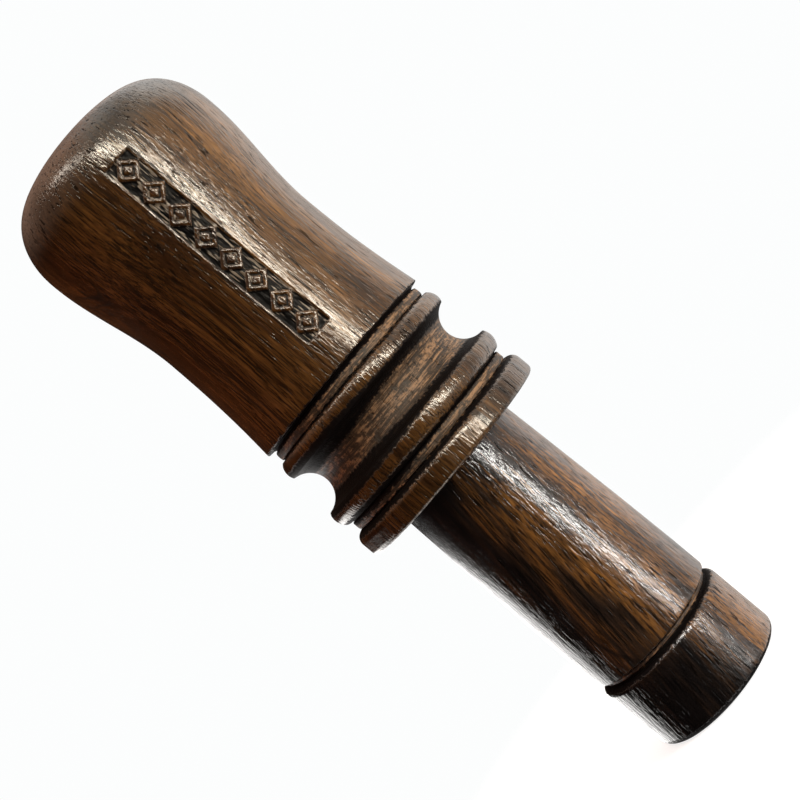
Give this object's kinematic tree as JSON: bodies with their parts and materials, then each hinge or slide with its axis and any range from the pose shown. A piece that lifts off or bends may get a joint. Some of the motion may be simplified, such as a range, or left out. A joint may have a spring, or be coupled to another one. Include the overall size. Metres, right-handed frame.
{
  "type": "bird call",
  "caption": "Turned wooden bird call with a bulbous barrel, lanyard cove and a grooved insert carrying a tone board, double reed and cork wedge.",
  "frame": {"origin": "centre of the flat exhaust face, which the call stands on", "axes": "+Z along the turning axis from the exhaust to the mouth; +X is the way the reeds face"},
  "size_m": [0.038, 0.038, 0.129],
  "materials": {
    "barrel_wood": "dark streaked hardwood under gloss lacquer",
    "insert_wood": "dark streaked hardwood under gloss lacquer",
    "black_rubber": "satin nitrile",
    "red_rubber": "satin silicone",
    "board_plastic": "moulded, semi gloss",
    "reed_film": "clear film with a milky tint",
    "cork": "cut cork"
  },
  "bodies": {
    "insert": {"insert": "insert_wood"},
    "seal_rings": {"lower_tenon_ring": "black_rubber", "upper_tenon_ring": "black_rubber"},
    "barrel": {"barrel": "barrel_wood"},
    "tone_board": {"tone_board": "board_plastic", "wedge": "cork", "lower_board_ring": "red_rubber", "upper_board_ring": "red_rubber"},
    "reeds": {"long_reed": "reed_film", "short_reed": "reed_film"}
  },
  "joints": [
    {"name": "barrel_twist", "type": "hinge", "parent": "insert", "child": "seal_rings", "pos_m": [0, 0, 0.0538], "axis": [0, 0, 1], "continuous": true},
    {"name": "barrel_pull", "type": "slide", "parent": "seal_rings", "child": "barrel", "axis": [0, 0, 1], "range_m": [0, 0.066]},
    {"name": "tone_board_pull", "type": "slide", "parent": "insert", "child": "tone_board", "axis": [0, 0, 1], "range_m": [0, 0.0155]},
    {"name": "reed_flex", "type": "hinge", "parent": "tone_board", "child": "reeds", "pos_m": [0.001, 0, 0.0873], "axis": [0, 1, 0], "range_deg": [-2.2, 2], "stiffness_Nm_per_rad": 0.0067, "deforming": ["long_reed", "short_reed"]}
  ]
}
